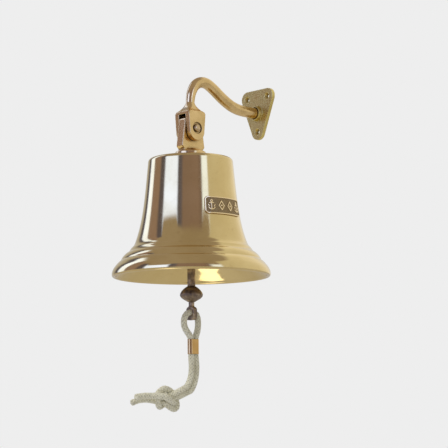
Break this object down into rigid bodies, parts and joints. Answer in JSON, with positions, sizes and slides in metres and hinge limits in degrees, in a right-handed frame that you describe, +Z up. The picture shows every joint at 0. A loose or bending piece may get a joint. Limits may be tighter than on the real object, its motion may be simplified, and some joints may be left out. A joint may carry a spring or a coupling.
{
  "type": "ship bell",
  "caption": "Brass ship bell on a goose-neck wall bracket, free to swing on a forked pivot, with a hanging clapper and a knotted rope lanyard.",
  "frame": {"origin": "wall plate's back face, level with the arm's root", "axes": "+Y into the wall, +Z up, +X along the pivot bolt towards its head and the bell's plaque"},
  "size_m": [0.2, 0.221, 0.4253],
  "materials": {
    "polished_brass": "mirror polished and lacquered, with faint turning lines",
    "cast_brass": "hand polished casting, slightly uneven",
    "fastener_brass": "satin turned",
    "plaque_brass": "polished rim and motif over a dark stippled ground",
    "ferrule_brass": "bright drawn tube",
    "aged_bronze": "dark oxidised, worn brown on the edges",
    "lanyard_rope": "braided cotton, cream",
    "gasket_leather": "oiled leather"
  },
  "bodies": {
    "bracket": {"wall_plate": "cast_brass", "bracket_arm": "cast_brass", "pivot_bolt": "fastener_brass", "pivot_nut": "fastener_brass"},
    "bell": {"bell_shell": "polished_brass", "plaque": "plaque_brass", "hanger_lug": "cast_brass", "crown_gasket": "gasket_leather", "crown_washer": "fastener_brass", "crown_nut": "fastener_brass"},
    "link": {"clapper_link": "aged_bronze"},
    "clapper": {"clapper_shaft": "aged_bronze", "clapper_ball": "aged_bronze", "clapper_tail": "aged_bronze"},
    "lanyard": {"lanyard_leg_front": "lanyard_rope", "lanyard_leg_back": "lanyard_rope", "lanyard_knot": "lanyard_rope", "lanyard_end_front": "lanyard_rope", "lanyard_end_back": "lanyard_rope", "lanyard_ferrule": "ferrule_brass"}
  },
  "joints": [
    {"name": "bell_swing", "type": "hinge", "parent": "bracket", "child": "bell", "pos_m": [0, -0.121, -0.0341], "axis": [1, 0, 0], "range_deg": [-65, 5.5]},
    {"name": "clapper_swing", "type": "hinge", "parent": "bell", "child": "link", "pos_m": [0, -0.121, -0.0946], "axis": [1, 0, 0], "range_deg": [-30.5, 30.5]},
    {"name": "clapper_cross_swing", "type": "hinge", "parent": "link", "child": "clapper", "pos_m": [0, -0.121, -0.1067], "axis": [0, 1, 0], "range_deg": [-7, 7]},
    {"name": "lanyard_swing", "type": "hinge", "parent": "clapper", "child": "lanyard", "pos_m": [0, -0.121, -0.2672], "axis": [0, 1, 0], "range_deg": [-35, 35]}
  ]
}
